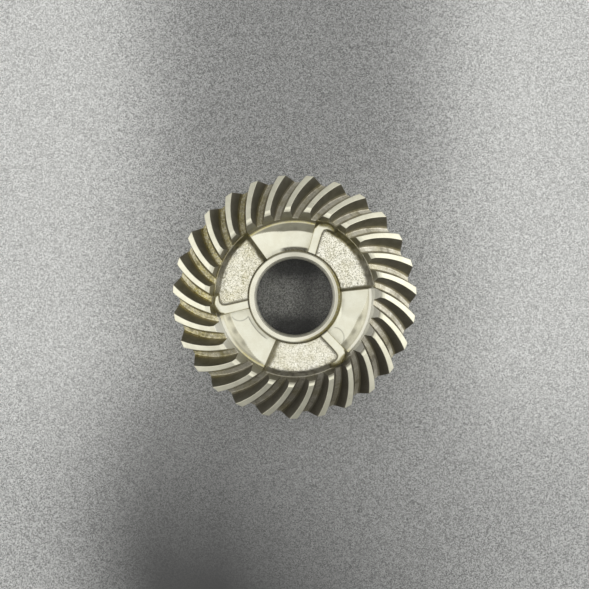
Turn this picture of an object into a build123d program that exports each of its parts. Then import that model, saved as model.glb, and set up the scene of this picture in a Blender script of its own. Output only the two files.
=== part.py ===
from build123d import *
import os
from math import sin, cos, tan, atan2, radians, degrees

# Spiral bevel ring gear with integral clutch dogs, and the plain sleeve pressed
# into its bore. Millimetres. Origin on the axis at the rear hub face, +Z towards
# the toothed face. Angles are in degrees about +Z, counter-clockwise from +X.

# ---------------------------------------------------------------- gear teeth
TEETH = 27
PITCH = 360.0 / TEETH            # angular pitch
APEX_Z = 42.47                   # pitch-cone apex above the rear hub face
PITCH_ANGLE = 64.29              # pitch cone half angle
A_HEEL = 43.62                   # outer cone distance
ADD_HEEL, ADD_RATE = 1.603, 0.04924      # addendum at the heel, and per mm of cone distance
DED_HEEL, DED_RATE = 3.895, 0.0892       # dedendum at the heel, and per mm of cone distance
SLOPE_L_HEEL, SLOPE_L_TOE = 0.50, 0.37   # lateral run of the concave flank per mm of depth
SLOPE_R_HEEL, SLOPE_R_TOE = 0.44, 0.37   # lateral run of the convex flank per mm of depth
FLANK_BULGE = 0.07               # how far a flank stands proud of its chord at mid depth
ROOT_R_HEEL, ROOT_R_TOE = 0.55, 0.42     # root fillet radius
# Land edges as angle against radius at the tooth tip: c0 + c1*(r-34) + c2*(r-34)^2
LAND_CCW = (11.060, -1.0560, -0.00888)   # edge on the counter-clockwise side of a land
LAND_CW = (7.900, -1.0460, -0.01729)     # edge on the clockwise side of a land

# ---------------------------------------------------------------- blank profile
CROWN_R, CROWN_Z = 40.0, 25.0    # crown point, where the face cone meets the back cone
HEEL_ROOT_R, HEEL_ROOT_Z = 38.07, 19.77  # tooth root on the back cone
TOE_FLAT_Z = 29.50               # small flat turned across the toe ends
TOE_FLAT_R = (27.80, 29.31)
RING_Z = 26.45                   # narrow flat ring between the toes and the dog slots
RING_R = (24.35, 25.15)
FLOOR_Z = 25.05                  # floor of the dog slots
FLOOR_R = 21.65
NECK_R = (15.45, 16.40)          # small cone round the bore at slot-floor level
NECK_Z = 25.45
BORE_R = 15.0                    # bore of the forging, outside of the sleeve
RIM_BACK_Z = 16.2                # rear face of the rim
RIM_BACK_R = (30.5, 36.3)
HUB_R, HUB_LEN = 20.0, 14.6      # rear hub, a bearing seat
SHOULDER_R = 24.5                # thrust shoulder for the bearing

# ---------------------------------------------------------------- clutch dogs
DOGS = 3
DOG_CW, DOG_CCW = 6.25, 74.0     # clockwise end at the foot, and driving face
DOG_TOP_Z = 28.40                # as-forged top
DOG_R = 24.30                    # edge of the as-forged top
DOG_FOOT_R = 26.30               # foot of the dog's sloping outer wall
PAD_TOP_Z = 29.30                # machined L-shaped pad along the driving face
RAMP_CW, RAMP_CCW = 99.2, 126.25 # start and end of the slot's ramp

# ---------------------------------------------------------------- sleeve
SLEEVE_RI, SLEEVE_RO = 13.0, 15.0
SLEEVE_TOP = 30.0

DELTA = radians(PITCH_ANGLE)


def lerp(heel, toe, s):
    t = (A_HEEL - s) / 12.9
    return heel + (toe - heel) * t


def land(coeff, r):
    d = r - 34.0
    return coeff[0] + coeff[1] * d + coeff[2] * d * d


def gap_section(s):
    """Plane and corner points of one tooth gap at cone distance s."""
    add_s = ADD_HEEL - ADD_RATE * (A_HEEL - s)
    ded_s = DED_HEEL - DED_RATE * (A_HEEL - s)
    depth = add_s + ded_s
    r_tip = s * sin(DELTA) + add_s * cos(DELTA)
    a_right = land(LAND_CCW, r_tip)
    a_left = land(LAND_CW, r_tip) + PITCH
    mid = (a_right + a_left) / 2
    x_r = r_tip * tan(radians(a_right - mid))
    x_l = r_tip * tan(radians(a_left - mid))
    k_r = lerp(SLOPE_R_HEEL, SLOPE_R_TOE, s)
    k_l = lerp(SLOPE_L_HEEL, SLOPE_L_TOE, s)
    th = radians(mid)
    plane = Plane(
        origin=(s * sin(DELTA) * cos(th), s * sin(DELTA) * sin(th), APEX_Z - s * cos(DELTA)),
        x_dir=(-sin(th), cos(th), 0),
        z_dir=(sin(DELTA) * cos(th), sin(DELTA) * sin(th), -cos(DELTA)),
    )
    over = 1.3                   # the cutter's height above the tooth tips
    top = add_s + over
    half = depth * 0.5
    return plane, {
        "tr": (x_r - k_r * over, top),
        "mr": (x_r + k_r * half + FLANK_BULGE, add_s - half),
        "br": (x_r + k_r * depth, -ded_s),
        "bl": (x_l - k_l * depth, -ded_s),
        "ml": (x_l - k_l * half - FLANK_BULGE, add_s - half),
        "tl": (x_l + k_l * over, top),
    }, lerp(ROOT_R_HEEL, ROOT_R_TOE, s)


# One tooth gap, swept along the spiral from inside the toe to outside the heel
with BuildPart() as tooth_gap:
    for s in (29.2, 31.6, 34.0, 36.6, 39.2, 41.8, 44.2, 46.4):
        gap_plane, p, root_r = gap_section(s)
        with BuildSketch(gap_plane) as gap_sketch:
            with BuildLine() as gap_line:
                ThreePointArc(p["tr"], p["mr"], p["br"])
                Line(p["br"], p["bl"])
                ThreePointArc(p["bl"], p["ml"], p["tl"])
                Line(p["tl"], p["tr"])
            make_face()
            fillet(gap_sketch.vertices().group_by(Axis.Y)[0], radius=root_r)
    loft()

# Slot between two dogs: flat floor, then a planar ramp hinged on the radial line at RAMP_CW, rising to the ring
RAMP_SLOPE = degrees(atan2(RING_Z - FLOOR_Z, RING_R[0] * sin(radians(RAMP_CCW - RAMP_CW))))
hinge = radians(RAMP_CW)
ramp_plane = Plane(
    origin=(0, 0, FLOOR_Z),
    x_dir=(cos(hinge), sin(hinge), 0),
    z_dir=(
        sin(radians(RAMP_SLOPE)) * sin(hinge),
        -sin(radians(RAMP_SLOPE)) * cos(hinge),
        cos(radians(RAMP_SLOPE)),
    ),
)
with BuildPart() as dog_slot:
    with BuildSketch(Plane.XZ.rotated((0, 0, DOG_CCW))) as slot_sketch:
        with BuildLine() as slot_line:
            Polyline(
                (BORE_R - 1, NECK_Z), (NECK_R[0], NECK_Z), (NECK_R[1], FLOOR_Z), (FLOOR_R, FLOOR_Z),
                (RING_R[0], RING_Z), (RING_R[0], RING_Z + 1), (BORE_R - 1, RING_Z + 1), close=True,
            )
        make_face()
    revolve(axis=Axis.Z, revolution_arc=RAMP_CCW + 1.5 - DOG_CCW)
    split(bisect_by=ramp_plane, keep=Keep.TOP)

# Dog: as-forged lug, its outer wall falling into the groove behind the toes
with BuildPart() as dog:
    with BuildSketch(Plane.XZ.rotated((0, 0, DOG_CW - 3))) as dog_sketch:
        with BuildLine() as dog_line:
            Polyline(
                (BORE_R, FLOOR_Z - 1), (DOG_FOOT_R, FLOOR_Z - 1),
                (DOG_FOOT_R, RING_Z - 0.05), (DOG_R + 0.95, RING_Z + 0.75),
                (DOG_R + 0.40, DOG_TOP_Z - 0.70), (DOG_R, DOG_TOP_Z),
                (BORE_R, DOG_TOP_Z), close=True,
            )
        make_face()
    revolve(axis=Axis.Z, revolution_arc=DOG_CCW - DOG_CW + 3)
    # drafted clockwise end
    end_a = radians(DOG_CW)
    draft = radians(16)
    end_plane = Plane(
        origin=(20 * cos(end_a), 20 * sin(end_a), RING_Z - 1.0),
        x_dir=(cos(end_a), sin(end_a), 0),
        z_dir=(-sin(end_a) * cos(draft), cos(end_a) * cos(draft), -sin(draft)),
    )
    split(bisect_by=end_plane, keep=Keep.TOP)
    fillet(
        dog.edges().filter_by(GeomType.LINE).filter_by(
            lambda e: abs(e.center().Z - DOG_TOP_Z) < 0.01
            and degrees(atan2(e.center().Y, e.center().X)) < 30
        ),
        radius=1.1,
    )


def polar(radius, deg):
    """Point in the plane from radius and angle."""
    return (radius * cos(radians(deg)), radius * sin(radians(deg)))


# Outline of the L-shaped pad: (radius, angle) from the sleeve round the outside
# to the tip, and back along the step to the sleeve
PAD_OUT = [(14.9, DOG_CCW), (22.3, DOG_CCW), (23.7, 73.0), (25.1, 70.6),
           (26.0, 66.6), (26.15, 64.2), (25.85, 60.9), (25.3, 58.9)]
PAD_IN = [(24.75, 59.5), (24.6, 63.2), (24.1, 65.7), (23.3, 66.8), (21.2, 66.6), (14.9, 63.9)]
FOOT_OUT = [(14.9, DOG_CCW), (22.3, DOG_CCW), (24.1, 73.4), (25.9, 71.2),
            (26.95, 67.0), (27.1, 64.2), (26.7, 59.9), (25.7, 56.6)]
FOOT_IN = [(24.2, 57.3), (23.6, 61.6), (23.0, 62.9), (22.2, 63.3), (20.6, 63.1), (14.9, 59.6)]


def pad_outline(outer, inner, plane):
    with BuildSketch(plane) as outline:
        with BuildLine() as outline_edges:
            pts_o = [polar(r, a) for r, a in outer]
            pts_i = [polar(r, a) for r, a in inner]
            Line(pts_o[0], pts_o[1])
            Spline(*pts_o[1:])
            Line(pts_o[-1], pts_i[0])
            Spline(*pts_i[:5])
            Line(pts_i[4], pts_i[5])
            Line(pts_i[5], pts_o[0])
        make_face()
    return outline.sketch


pad_top_face = pad_outline(PAD_OUT, PAD_IN, Plane.XY.offset(PAD_TOP_Z))
pad_foot_face = pad_outline(FOOT_OUT, FOOT_IN, Plane.XY.offset(PAD_TOP_Z - 1.25))

with BuildPart() as pad:
    add(pad_top_face)
    add(pad_foot_face)
    loft(ruled=True)
    with BuildSketch(Plane.XY.offset(FLOOR_Z - 1)) as pad_base:
        add(pad_foot_face.moved(Location((0, 0, FLOOR_Z - 1 - (PAD_TOP_Z - 1.25)))))
    extrude(amount=PAD_TOP_Z - 1.25 - (FLOOR_Z - 1))

# Groove behind the toes beside each dog, where the toe ends are steeper
with BuildPart() as groove:
    with BuildSketch(Plane.XZ.rotated((0, 0, DOG_CW + 2.0))) as groove_sketch:
        with BuildLine() as groove_line:
            Polyline(
                (RING_R[1] + 0.1, RING_Z + 0.05), (RING_R[1] + 0.95, RING_Z + 0.2),
                (RING_R[1] + 1.2, RING_Z + 0.6), (TOE_FLAT_R[0], TOE_FLAT_Z),
                (TOE_FLAT_R[0] - 0.2, TOE_FLAT_Z + 1), (RING_R[1] + 0.1, TOE_FLAT_Z + 1), close=True,
            )
        make_face()
    revolve(axis=Axis.Z, revolution_arc=DOG_CCW - DOG_CW - 4.0)

# Ring gear forging: turned blank, dog slots, toe grooves, cut teeth, then the dogs
with BuildPart() as ring_gear:
    with BuildSketch(Plane.XZ) as blank_sketch:
        with BuildLine() as blank_line:
            Polyline(
                (BORE_R, 0), (HUB_R - 0.8, 0), (HUB_R, 0.8), (HUB_R, HUB_LEN - 0.35),
                (HUB_R + 0.35, HUB_LEN), (SHOULDER_R, HUB_LEN), (SHOULDER_R + 1.2, HUB_LEN + 1.0),
                (RIM_BACK_R[0], RIM_BACK_Z - 0.2), (RIM_BACK_R[0] + 0.6, RIM_BACK_Z),
                (RIM_BACK_R[1], RIM_BACK_Z), (RIM_BACK_R[1] + 0.75, RIM_BACK_Z + 0.8),
                (HEEL_ROOT_R, HEEL_ROOT_Z), (CROWN_R, CROWN_Z),
                (TOE_FLAT_R[1], TOE_FLAT_Z), (TOE_FLAT_R[0], TOE_FLAT_Z),
                (RING_R[1], RING_Z), (BORE_R, RING_Z), close=True,
            )
        make_face()
    revolve(axis=Axis.Z)
    with PolarLocations(0, DOGS):
        add(dog_slot.part, mode=Mode.SUBTRACT)
    with PolarLocations(0, DOGS):
        add(groove.part, mode=Mode.SUBTRACT)
    with PolarLocations(0, TEETH):
        add(tooth_gap.part, mode=Mode.SUBTRACT)
    with PolarLocations(0, DOGS):
        add(dog.part)
    with PolarLocations(0, DOGS):
        add(pad.part)
    with BuildSketch(Plane.XY) as bore_sketch:
        Circle(BORE_R)
    extrude(amount=40, mode=Mode.SUBTRACT)
ring_gear.part.label = "ring_gear"

# Plain sleeve pressed into the gear's bore, standing proud of the dogs
with BuildPart() as bore_sleeve:
    with BuildSketch(Plane.XZ) as sleeve_sketch:
        with BuildLine() as sleeve_line:
            Polyline(
                (SLEEVE_RI, 0.9), (SLEEVE_RI + 0.5, 0.4), (SLEEVE_RO - 0.4, 0.4),
                (SLEEVE_RO, 0.8), (SLEEVE_RO, SLEEVE_TOP), (SLEEVE_RI, SLEEVE_TOP), close=True,
            )
        make_face()
    revolve(axis=Axis.Z)
    fillet(bore_sleeve.edges().group_by(Axis.Z)[-1].sort_by(SortBy.RADIUS)[-1], radius=0.45)
    chamfer(bore_sleeve.edges().group_by(Axis.Z)[-1].sort_by(SortBy.RADIUS)[0], length=0.2)
bore_sleeve.part.label = "bore_sleeve"

os.makedirs("parts", exist_ok=True)
export_step(ring_gear.part, "parts/ring_gear.step")
export_step(bore_sleeve.part, "parts/bore_sleeve.step")
print("ring_gear", round(ring_gear.part.volume), ring_gear.part.bounding_box().size, len(ring_gear.part.solids()))
print("bore_sleeve", round(bore_sleeve.part.volume), bore_sleeve.part.bounding_box().size)
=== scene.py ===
import math

import bpy
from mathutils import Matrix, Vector
from mathutils.kdtree import KDTree
import numpy as np


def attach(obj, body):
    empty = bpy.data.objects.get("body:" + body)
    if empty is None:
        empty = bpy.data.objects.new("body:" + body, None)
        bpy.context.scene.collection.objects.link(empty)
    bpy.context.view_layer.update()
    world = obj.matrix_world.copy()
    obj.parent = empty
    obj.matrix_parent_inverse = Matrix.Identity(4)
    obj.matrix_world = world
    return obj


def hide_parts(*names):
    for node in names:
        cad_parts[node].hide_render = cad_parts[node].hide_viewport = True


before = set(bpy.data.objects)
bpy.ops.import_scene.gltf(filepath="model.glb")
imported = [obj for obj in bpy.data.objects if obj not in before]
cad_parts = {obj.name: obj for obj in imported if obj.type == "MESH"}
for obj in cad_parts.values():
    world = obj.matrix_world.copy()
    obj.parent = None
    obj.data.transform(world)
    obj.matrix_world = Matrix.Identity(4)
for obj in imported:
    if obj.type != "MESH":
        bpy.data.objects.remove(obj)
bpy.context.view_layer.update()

MM = 0.001
rad = np.radians

# ------------------------------------------------------------------ gear design
TEETH, PITCH = 27, 360.0 / 27
APEX, DELTA = 42.47, math.radians(64.29)
SD, CD = math.sin(DELTA), math.cos(DELTA)
A_HEEL = 43.62
LAND_CCW = (11.06, -1.0560, -0.00888)
LAND_CW = (7.90, -1.0460, -0.01729)
TOE_FLAT = 29.50
BULGE = 0.07
TIP_R = 0.11
RING_Z, FLOOR_Z = 26.45, 25.05
RING_R0, RING_R1, FLOOR_R = 24.35, 25.15, 21.65
NECK_R0, NECK_R1, NECK_Z = 15.45, 16.40, 25.45
DOG_CW, DOG_CCW = 6.25, 74.0
DOG_Z, DOG_R, PAD_Z = 28.40, 24.30, 29.28
RAMP_CW = 99.2
RAMP_M = (RING_Z - FLOOR_Z) / (RING_R0 * math.sin(math.radians(126.25 - RAMP_CW)))


def smax(a, b, k):
    h = np.clip(0.5 + 0.5 * (a - b) / k, 0, 1)
    return b + (a - b) * h + k * h * (1 - h)


def smin(a, b, k):
    return -smax(-a, -b, k)


def sstep(e0, e1, x):
    t = np.clip((x - e0) / (e1 - e0), 0, 1)
    return t * t * (3 - 2 * t)


# ------------------------------------------------------------- value noise in 3D
def _lattice(ix, iy, iz, seed):
    h = (ix.astype(np.int64) * 374761393 + iy.astype(np.int64) * 668265263
         + iz.astype(np.int64) * 2147483647 + seed * 1274126177) & 0xFFFFFFFF
    h = ((h ^ (h >> 13)) * 1274126177) & 0xFFFFFFFF
    h = ((h ^ (h >> 16)) * 2246822519) & 0xFFFFFFFF
    return ((h ^ (h >> 15)) & 0xFFFFFF) / float(0xFFFFFF) * 2 - 1


def noise(x, y, z, size, seed):
    """Smooth value noise in -1..1 with the given cell size in mm."""
    px, py, pz = x / size + 311.7, y / size + 127.1, z / size + 74.3
    ix, iy, iz = np.floor(px), np.floor(py), np.floor(pz)
    fx, fy, fz = px - ix, py - iy, pz - iz
    fx, fy, fz = (f * f * f * (f * (f * 6 - 15) + 10) for f in (fx, fy, fz))
    out = 0
    for dx in (0, 1):
        for dy in (0, 1):
            for dz in (0, 1):
                w = (fx if dx else 1 - fx) * (fy if dy else 1 - fy) * (fz if dz else 1 - fz)
                out = out + w * _lattice(ix + dx, iy + dy, iz + dz, seed)
    return out


# ------------------------------------------------------------------ tooth shape
def land(c, r):
    d = r - 34.0
    return c[0] + c[1] * d + c[2] * d * d


def lerp_s(heel, toe, s):
    return heel + (toe - heel) * (A_HEEL - s) / 12.9


def column_plan():
    """One pitch of the tooth profile as (kind, fraction) per column, counter-clockwise."""
    cols = []
    cols += [("land_r", f) for f in (0.0, 0.18, 0.36, 0.54, 0.72, 0.88)]
    cols += [("tip_r", f) for f in (0.0, 0.35, 0.7, 1.0)]
    cols += [("flank_r", f) for f in (0.1, 0.22, 0.36, 0.5, 0.64, 0.78, 0.9)]
    cols += [("fil_r", f) for f in (0.0, 0.25, 0.5, 0.75, 1.0)]
    cols += [("root", f) for f in (0.14, 0.28, 0.43, 0.57, 0.72, 0.86)]
    cols += [("fil_l", f) for f in (0.0, 0.25, 0.5, 0.75, 1.0)]
    cols += [("flank_l", f) for f in (0.1, 0.2, 0.32, 0.44, 0.56, 0.68, 0.8, 0.9)]
    cols += [("tip_l", f) for f in (0.0, 0.3, 0.65, 1.0)]
    cols += [("land_l", f) for f in (0.12, 0.28, 0.46, 0.64, 0.82)]
    return cols


PLAN = column_plan()
NCOL = len(PLAN)


def toe_line(w):
    """Toe face as (r0, z0, slope dz/dr): w 0 is the open toe cone, 1 the groove beside a dog."""
    r_low = 25.45 + (26.25 - 25.45) * w
    z_low = 26.795 + (26.60 - 26.795) * w
    m = (TOE_FLAT - z_low) / (27.80 - r_low)
    return r_low, z_low, m


HEEL_M = (25.0 - 19.77) / (40.0 - 38.07)


def section(s, kind, f):
    """Angle (deg) and cone-normal height y of one profile column at cone distance s."""
    add = 1.603 - 0.04924 * (A_HEEL - s)
    ded = 3.895 - 0.0892 * (A_HEEL - s)
    h = add + ded
    r_tip = s * SD + add * CD
    a_r, a_l = land(LAND_CCW, r_tip), land(LAND_CW, r_tip) + PITCH
    mid = (a_r + a_l) / 2
    x_rt, x_lt = r_tip * np.tan(rad(a_r - mid)), r_tip * np.tan(rad(a_l - mid))
    k_r, k_l = lerp_s(0.44, 0.37, s), lerp_s(0.50, 0.37, s)
    rho = lerp_s(0.62, 0.50, s)
    y_flat = (TOE_FLAT - APEX + s * CD) / SD
    y_top = smin(add, y_flat, 0.02)

    def flank(y, side):
        v = np.clip((add - y) / h, -0.2, 1.2)
        bul = BULGE * 4 * v * (1 - v)
        if side > 0:
            return x_rt + k_r * (add - y) + bul
        return x_lt - k_l * (add - y) - bul

    k = k_r if kind.endswith("_r") else k_l
    alpha = np.arctan(k)
    sgn = 1 if kind.endswith("_r") else -1
    t_tip = TIP_R * np.tan((np.pi / 2 - alpha) / 2)
    y_f0 = y_top - TIP_R * (1 - np.sin(alpha))            # flank starts below the tip rounding
    y_f1 = -ded + rho * (1 - np.sin(alpha))               # and ends above the root fillet
    if kind.startswith("land"):
        x_edge = flank(y_top, sgn) - sgn * t_tip
        ang_edge = mid + np.degrees(np.arctan2(x_edge, r_tip))
        centre = (land(LAND_CCW, r_tip) + land(LAND_CW, r_tip)) / 2 + (PITCH if sgn < 0 else 0)
        ang = centre + (ang_edge - centre) * (f if sgn > 0 else (1 - f))
        return ang, y_top + 0 * s
    if kind.startswith("tip"):
        x0 = flank(y_top, sgn) - sgn * t_tip
        g = f if sgn > 0 else 1 - f
        th = np.pi / 2 + (alpha - np.pi / 2) * g
        x = x0 + sgn * TIP_R * np.cos(th)
        y = y_top - TIP_R + TIP_R * np.sin(th)
    elif kind.startswith("flank"):
        g = f if sgn > 0 else 1 - f
        y = y_f0 + (y_f1 - y_f0) * g
        x = flank(y, sgn)
    elif kind.startswith("fil"):
        g = f if sgn > 0 else 1 - f
        xc = flank(y_f1, sgn) + sgn * rho * np.cos(alpha)
        th = np.pi + alpha + (1.5 * np.pi - np.pi - alpha) * g
        x = xc + sgn * rho * np.cos(th)
        y = -ded + rho + rho * np.sin(th)
    else:                                                  # root
        al_r, al_l = np.arctan(k_r), np.arctan(k_l)
        yr, yl = -ded + rho * (1 - np.sin(al_r)), -ded + rho * (1 - np.sin(al_l))
        x0 = flank(yr, 1) + rho * np.cos(al_r)
        x1 = flank(yl, -1) - rho * np.cos(al_l)
        x = x0 + (x1 - x0) * f
        y = -ded + 0 * s
    r = s * SD + y * CD
    return mid + np.degrees(np.arctan2(x, r)), y


def dog_sector(ang):
    """1 beside a dog, 0 in the open sectors, by angle in degrees."""
    a = np.mod(ang, 120.0)
    return sstep(7.0, 9.5, a) * (1 - sstep(73.4, 75.0, a))


def tooth_grid():
    """(rows toe->heel) x columns arrays of angle, r, z, all round the gear."""
    t_rows = np.array([0.0, 0.012, 0.03, 0.055, 0.08, 0.098, 0.106, 0.114, 0.13] +
                      list(np.linspace(0.16, 0.95, 34)) + [0.97, 0.982, 0.99, 1.0])
    ang = np.zeros((len(t_rows), TEETH * NCOL))
    yy = np.zeros_like(ang)
    ss = np.zeros_like(ang)
    for p in range(TEETH):
        for j, (kind, f) in enumerate(PLAN):
            c = p * NCOL + j
            s = 30.7 + t_rows * 12.9
            w = 0.0
            for _ in range(6):
                a, y = section(s, kind, f)
                w = dog_sector(a[0] + p * PITCH)
                r0, z0, m = toe_line(w)
                s_toe = (APEX - z0 + r0 * m + y * (SD - m * CD)) / (m * SD + CD)
                s_heel = (APEX - 25.0 + 40.0 * HEEL_M + y * (SD - HEEL_M * CD)) / (HEEL_M * SD + CD)
                s = s_toe + t_rows * (s_heel - s_toe)
            a, y = section(s, kind, f)
            ang[:, c], yy[:, c], ss[:, c] = a + p * PITCH, y, s
    return ang, ss * SD + yy * CD, APEX - ss * CD + yy * SD


def floor_height(r, ang):
    """Front surface of the gear inside the toe cone, without the dogs."""
    a = np.mod(ang - 40.0, 120.0) + 40.0
    slot = sstep(71.8, 73.2, a) * (1 - sstep(128.6, 130.0, a))
    u = r * np.sin(rad(np.clip(a - RAMP_CW, -20, 40)))
    ramp = FLOOR_Z + RAMP_M * smax(u, 0 * u, 0.5)
    cone = FLOOR_Z + (r - FLOOR_R) * (RING_Z - FLOOR_Z) / (RING_R0 - FLOOR_R)
    neck = FLOOR_Z + (NECK_R1 - r) * (NECK_Z - FLOOR_Z) / (NECK_R1 - NECK_R0)
    neck = smin(neck, NECK_Z + 0 * r, 0.06)
    z = smax(smax(ramp, cone, 0.07), neck, 0.09)
    z = smin(z, RING_Z + 0 * r, 0.06)
    under = np.where(r < 24.2, RING_Z - 0.3, RING_Z)
    return slot * z + (1 - slot) * np.minimum(under, RING_Z)


def polyline_rows(points, steps):
    """Points along a (r, z) polyline, steps per segment, end point of each included."""
    out = []
    for (a, b), n in zip(zip(points[:-1], points[1:]), steps):
        for i in range(1, n + 1):
            t = i / n
            out.append((a[0] + (b[0] - a[0]) * t, a[1] + (b[1] - a[1]) * t))
    return out


def soften(points, d):
    """Cuts each corner of a (r, z) polyline back by d, leaving three points for a rounded edge."""
    out = [points[0]]
    for i in range(1, len(points) - 1):
        p, a, b = (np.array(q, float) for q in (points[i], points[i - 1], points[i + 1]))
        la, lb = np.linalg.norm(a - p), np.linalg.norm(b - p)
        e = min(d, 0.4 * la, 0.4 * lb)
        pa, pb = p + (a - p) / la * e, p + (b - p) / lb * e
        out += [tuple(pa), tuple(0.5 * p + 0.25 * pa + 0.25 * pb), tuple(pb)]
    out.append(points[-1])
    return out


def gear_body():
    """Closed torus-like grid: front floor, toe faces, teeth, back cone, back, hub and bore."""
    t_ang, t_r, t_z = tooth_grid()
    a0, a1 = t_ang[0], t_ang[-1]
    rows = []                                            # each row: (ang, r, z) arrays
    # inside of the toe cone, from the bore outwards
    r_in = np.concatenate([[15.0, 15.12], np.arange(15.3, 25.05, 0.2), [25.10]])
    for r in r_in:
        rows.append((a0, np.full_like(a0, r), floor_height(np.full_like(a0, r), a0)))
    # toe cone, from the ring up to each column's tooth profile
    w = dog_sector(a0)
    r_low, z_low, m = toe_line(w)
    r_st, z_st = t_r[0], t_z[0]
    mid_r = 25.15 + 0 * a0
    mid_z = RING_Z + 0 * a0
    for f in (0.0, 0.5, 1.0):
        r = mid_r + (r_low - 0.0 - mid_r) * f
        z = mid_z + (z_low - mid_z) * f
        if f == 0.0:
            r, z = r + 0.02, z + 0.03
        rows.append((a0, r, z))
    ln = np.hypot(r_st - r_low, z_st - z_low)
    for f in (0.12, 0.26, 0.4, 0.54, 0.68, 0.8, 0.9):
        rows.append((a0, r_low + (r_st - r_low) * f, z_low + (z_st - z_low) * f))
    f = 1 - np.minimum(0.09 / ln, 0.04)
    rows.append((a0, r_low + (r_st - r_low) * f, z_low + (z_st - z_low) * f))
    toe_row = len(rows)
    for i in range(t_ang.shape[0]):
        rows.append((t_ang[i], t_r[i], t_z[i]))
    heel_row = len(rows) - 1
    # back cone, from each column's profile down to the rim's rear corner
    r_b, z_b = 37.05 + 0 * a1, 17.0 + 0 * a1
    ln = np.hypot(t_r[-1] - r_b, t_z[-1] - z_b)
    f0 = 0.12 / ln
    for f in (0.0, 0.12, 0.25, 0.4, 0.55, 0.7, 0.85, 0.97):
        g = f0 + (1 - f0) * f
        rows.append((a1, t_r[-1] + (r_b - t_r[-1]) * g, t_z[-1] + (z_b - t_z[-1]) * g))
    back = soften([(37.05, 17.0), (36.3, 16.2), (31.1, 16.2), (30.5, 16.0), (25.7, 15.6),
                   (24.5, 14.6), (20.35, 14.6), (20.0, 14.25), (20.0, 0.8),
                   (19.2, 0.02), (15.0, 0.02)], 0.14)
    steps = []
    for a, b in zip(back[:-1], back[1:]):
        steps.append(max(1, int(np.hypot(b[0] - a[0], b[1] - a[1]) / 1.6)))
    for r, z in polyline_rows(back, steps):
        rows.append((a1, np.full_like(a1, r), np.full_like(a1, z)))
    for z in (4.0, 9.0, 14.0, 18.0, 21.0):
        g = z / 23.0
        ang = a1 + (a0 - a1) * g
        rows.append((ang, np.full_like(a0, 15.0), np.full_like(a0, z)))
    n = len(rows)
    A = np.array([r[0] for r in rows])
    R = np.array([r[1] for r in rows])
    Z = np.array([r[2] for r in rows])
    X, Y = R * np.cos(rad(A)), R * np.sin(rad(A))
    P = np.stack([X, Y, Z], -1)
    for row in (toe_row, heel_row):                      # round the edges of the tooth ends
        P[row] = 0.5 * P[row] + 0.25 * (P[row - 1] + P[row + 1])
    return P, toe_row, heel_row


def grid_mesh(name, P, close_rows=False, close_cols=False, flip=False, extra_faces=None):
    n, m = P.shape[:2]
    idx = np.arange(n * m).reshape(n, m)
    a = idx if close_rows else idx[:-1]
    b = np.roll(idx, -1, 0) if close_rows else idx[1:]
    if close_cols:
        q = np.stack([a, np.roll(a, -1, 1), np.roll(b, -1, 1), b], -1)
    else:
        q = np.stack([a[:, :-1], a[:, 1:], b[:, 1:], b[:, :-1]], -1)
    q = q.reshape(-1, 4)
    if flip:
        q = q[:, ::-1]
    faces = q.tolist()
    if extra_faces:
        faces += [f[::-1] if flip else f for f in extra_faces]
    me = bpy.data.meshes.new(name)
    me.from_pydata((P.reshape(-1, 3) * MM).tolist(), [], faces)
    me.validate()
    ob = bpy.data.objects.new(name, me)
    bpy.context.scene.collection.objects.link(ob)
    return ob


# ------------------------------------------------------------------------- dogs
PAD_OUT = [(14.6, 73.99), (22.3, 73.99), (23.7, 73.0), (25.1, 70.6),
           (26.0, 66.6), (26.15, 64.2), (25.85, 60.9), (25.3, 58.9)]
PAD_IN = [(24.80, 59.3), (24.62, 63.0), (24.2, 65.3), (23.4, 66.7), (21.2, 66.7), (14.6, 63.8)]


def smooth_path(pts, n=24):
    """Catmull-Rom through (r, angle) points, as x, y."""
    q = np.array([(r * np.cos(rad(a)), r * np.sin(rad(a))) for r, a in pts])
    q = np.vstack([2 * q[0] - q[1], q, 2 * q[-1] - q[-2]])
    out = []
    for i in range(1, len(q) - 2):
        for t in np.linspace(0, 1, n, endpoint=False):
            p0, p1, p2, p3 = q[i - 1], q[i], q[i + 1], q[i + 2]
            out.append(0.5 * (2 * p1 + (p2 - p0) * t + (2 * p0 - 5 * p1 + 4 * p2 - p3) * t * t
                              + (3 * p1 - p0 - 3 * p2 + p3) * t ** 3))
    out.append(q[-2])
    return np.array(out)


def inside_polygon(x, y, poly):
    res = np.zeros(x.shape, bool)
    x1, y1 = poly[:, 0], poly[:, 1]
    x2, y2 = np.roll(x1, -1), np.roll(y1, -1)
    for i in range(len(poly)):
        if y1[i] == y2[i]:
            continue
        hit = ((y1[i] > y) != (y2[i] > y)) & (
            x < (x2[i] - x1[i]) * (y - y1[i]) / (y2[i] - y1[i]) + x1[i])
        res ^= hit
    return res


def nearest(x, y, path):
    """Distance from grid points to a polyline given as points, by segment."""
    best = np.full(x.shape, 1e9)
    for a, b in zip(path[:-1], path[1:]):
        d = b - a
        t = np.clip(((x - a[0]) * d[0] + (y - a[1]) * d[1]) / max(d @ d, 1e-12), 0, 1)
        best = np.minimum(best, np.hypot(x - a[0] - t * d[0], y - a[1] - t * d[1]))
    return best


def drop_curve(u, knots):
    """Height lost at u, integrating a slope given at knots."""
    grid = np.linspace(knots[0][0], knots[-1][0], 600)
    slope = np.interp(grid, [k[0] for k in knots], [k[1] for k in knots])
    acc = np.concatenate([[0], np.cumsum((slope[1:] + slope[:-1]) / 2 * np.diff(grid))])
    last = knots[-1][1]
    return np.interp(u, grid, acc) + np.maximum(u - grid[-1], 0) * last


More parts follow.
